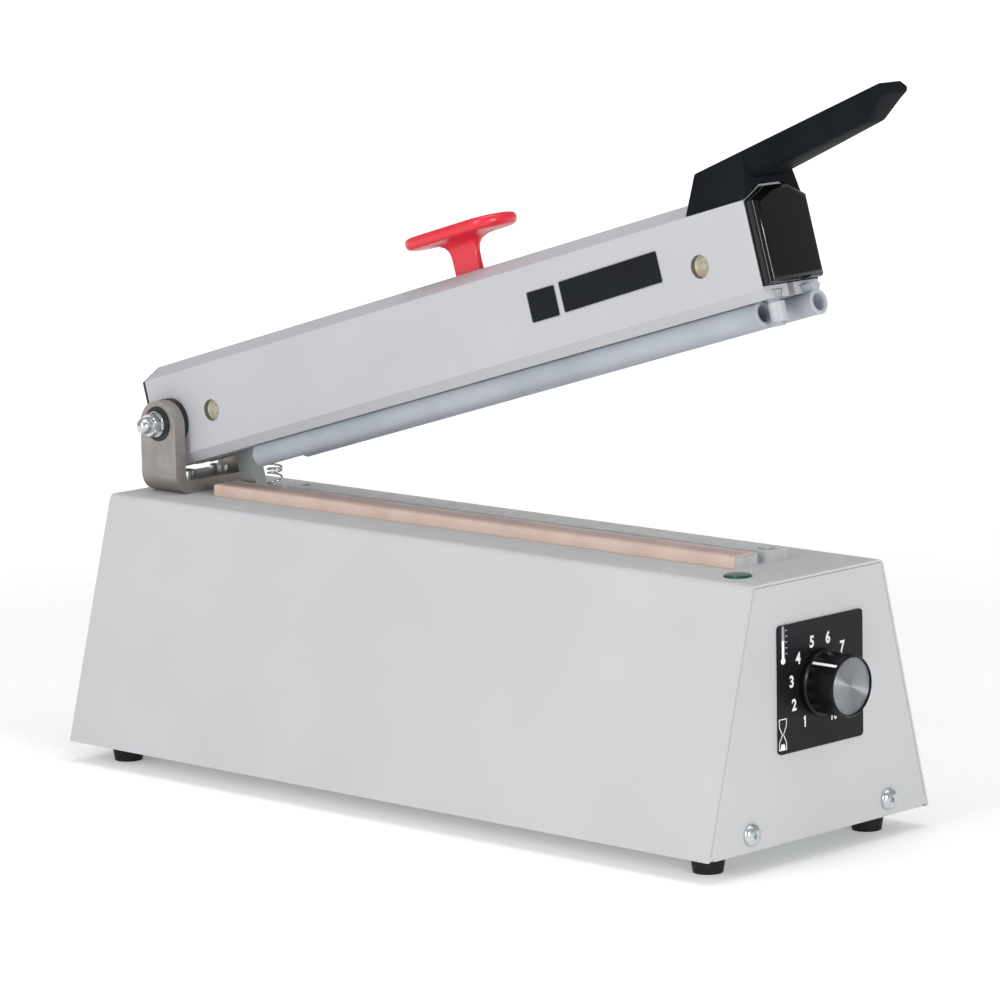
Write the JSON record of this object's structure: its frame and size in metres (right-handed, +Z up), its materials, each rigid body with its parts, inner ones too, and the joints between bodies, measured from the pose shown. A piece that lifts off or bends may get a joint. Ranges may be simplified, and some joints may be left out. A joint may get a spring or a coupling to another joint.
{
  "type": "impulse sealer",
  "caption": "Hand impulse sealer: sloping steel housing, hinged pressing arm with sliding film cutter, seal bar and clamp rail, timer dial at one end.",
  "frame": {"origin": "on the ground, under the middle of the housing", "axes": "+X from the hinge to the dial end, +Y to the far long side, +Z up"},
  "size_m": [0.3587, 0.1189, 0.2674],
  "materials": {
    "housing_paint": "satin powder coat",
    "steel_satin": "satin",
    "zinc_steel": "bright zinc plated",
    "bare_aluminium": "extruded, bare",
    "arm_paint": "satin powder coat",
    "black_nylon": "moulded, matt",
    "black_gloss": "moulded, glossy",
    "handle_black": "moulded, fine grain",
    "natural_nylon": "moulded, matt",
    "red_plastic": "moulded, glossy",
    "silicone": "silicone, satin",
    "black_rubber": "matt",
    "ptfe_tape": "coated glass cloth",
    "glass_cloth": "woven",
    "heating_alloy": "rolled",
    "spring_steel": "drawn",
    "lamp_lens": "dark green, clear",
    "dial_print": "printed plate",
    "turned_aluminium": "fine turned",
    "brass_bare": "turned",
    "board_green": "solder resist",
    "core_steel": "laminated, varnished",
    "coil_tape": "wrapped film"
  },
  "bodies": {
    "base": {"housing_cover": "housing_paint", "front_end_panel": "housing_paint", "rear_end_panel": "housing_paint", "base_plate": "zinc_steel", "foot_rear_near": "black_rubber", "foot_rear_far": "black_rubber", "foot_front_near": "black_rubber", "foot_front_far": "black_rubber", "foot_screws": "zinc_steel", "panel_screws": "zinc_steel", "top_stiffener": "zinc_steel", "top_rivets": "housing_paint", "pilot_lamp_lens": "lamp_lens", "pilot_lamp_body": "natural_nylon", "hinge_bracket": "steel_satin", "bracket_bolts": "zinc_steel", "hinge_bush_near": "black_nylon", "hinge_bush_far": "black_nylon", "hinge_bolt": "zinc_steel", "hinge_washers": "zinc_steel", "hinge_cap_nut": "zinc_steel", "seal_bar": "bare_aluminium", "bar_screws": "zinc_steel", "insulation_strip": "glass_cloth", "sealing_wire": "heating_alloy", "nonstick_tape": "ptfe_tape", "wire_clamps": "bare_aluminium", "clamp_rail": "bare_aluminium", "rail_screws": "zinc_steel", "return_spring": "spring_steel", "dial_plate": "dial_print", "potentiometer": "steel_satin", "timer_board": "board_green", "transformer_core": "core_steel", "transformer_coil": "coil_tape", "transformer_screws": "zinc_steel", "micro_switch": "black_nylon", "switch_bracket": "zinc_steel", "terminal_block": "natural_nylon", "cable_bush": "black_nylon"},
    "arm": {"arm_profile": "arm_paint", "hinge_sleeve": "zinc_steel", "side_spacer_rear": "natural_nylon", "side_spacer_front": "natural_nylon", "arm_rear_cap": "black_gloss", "arm_front_cap": "black_gloss", "silicone_tube_near": "silicone", "silicone_tube_far": "silicone", "closing_stop": "steel_satin", "handle": "handle_black", "handle_screws": "zinc_steel", "switch_strut": "zinc_steel"},
    "carriage": {"cutter_carriage": "natural_nylon", "press_springs": "spring_steel"},
    "cutter": {"cutter_plunger": "zinc_steel", "cutter_blade": "steel_satin", "cutter_knob": "red_plastic"},
    "dial": {"dial_knob": "black_nylon", "dial_insert": "turned_aluminium", "dial_shaft": "brass_bare"}
  },
  "joints": [
    {"name": "arm_hinge", "type": "hinge", "parent": "base", "child": "arm", "pos_m": [-0.1456, 0, 0.1253], "axis": [0, 1, 0], "range_deg": [0, 16.1], "stiffness_Nm_per_rad": 1.2, "springref_deg": -42.97, "deforming": ["return_spring"]},
    {"name": "cutter_slide", "type": "slide", "parent": "arm", "child": "carriage", "axis": [0.9608, 0, 0.2773], "range_m": [-0.095, 0.086]},
    {"name": "cutter_press", "type": "slide", "parent": "carriage", "child": "cutter", "axis": [0.2773, 0, -0.9608], "range_m": [0, 0.01], "stiffness_N_per_m": 500, "springref_m": -0.008, "deforming": ["press_springs"]},
    {"name": "dial_turn", "type": "hinge", "parent": "base", "child": "dial", "pos_m": [0.1613, 0, 0.0611], "axis": [1, 0, 0], "range_deg": [-195, 98]}
  ]
}
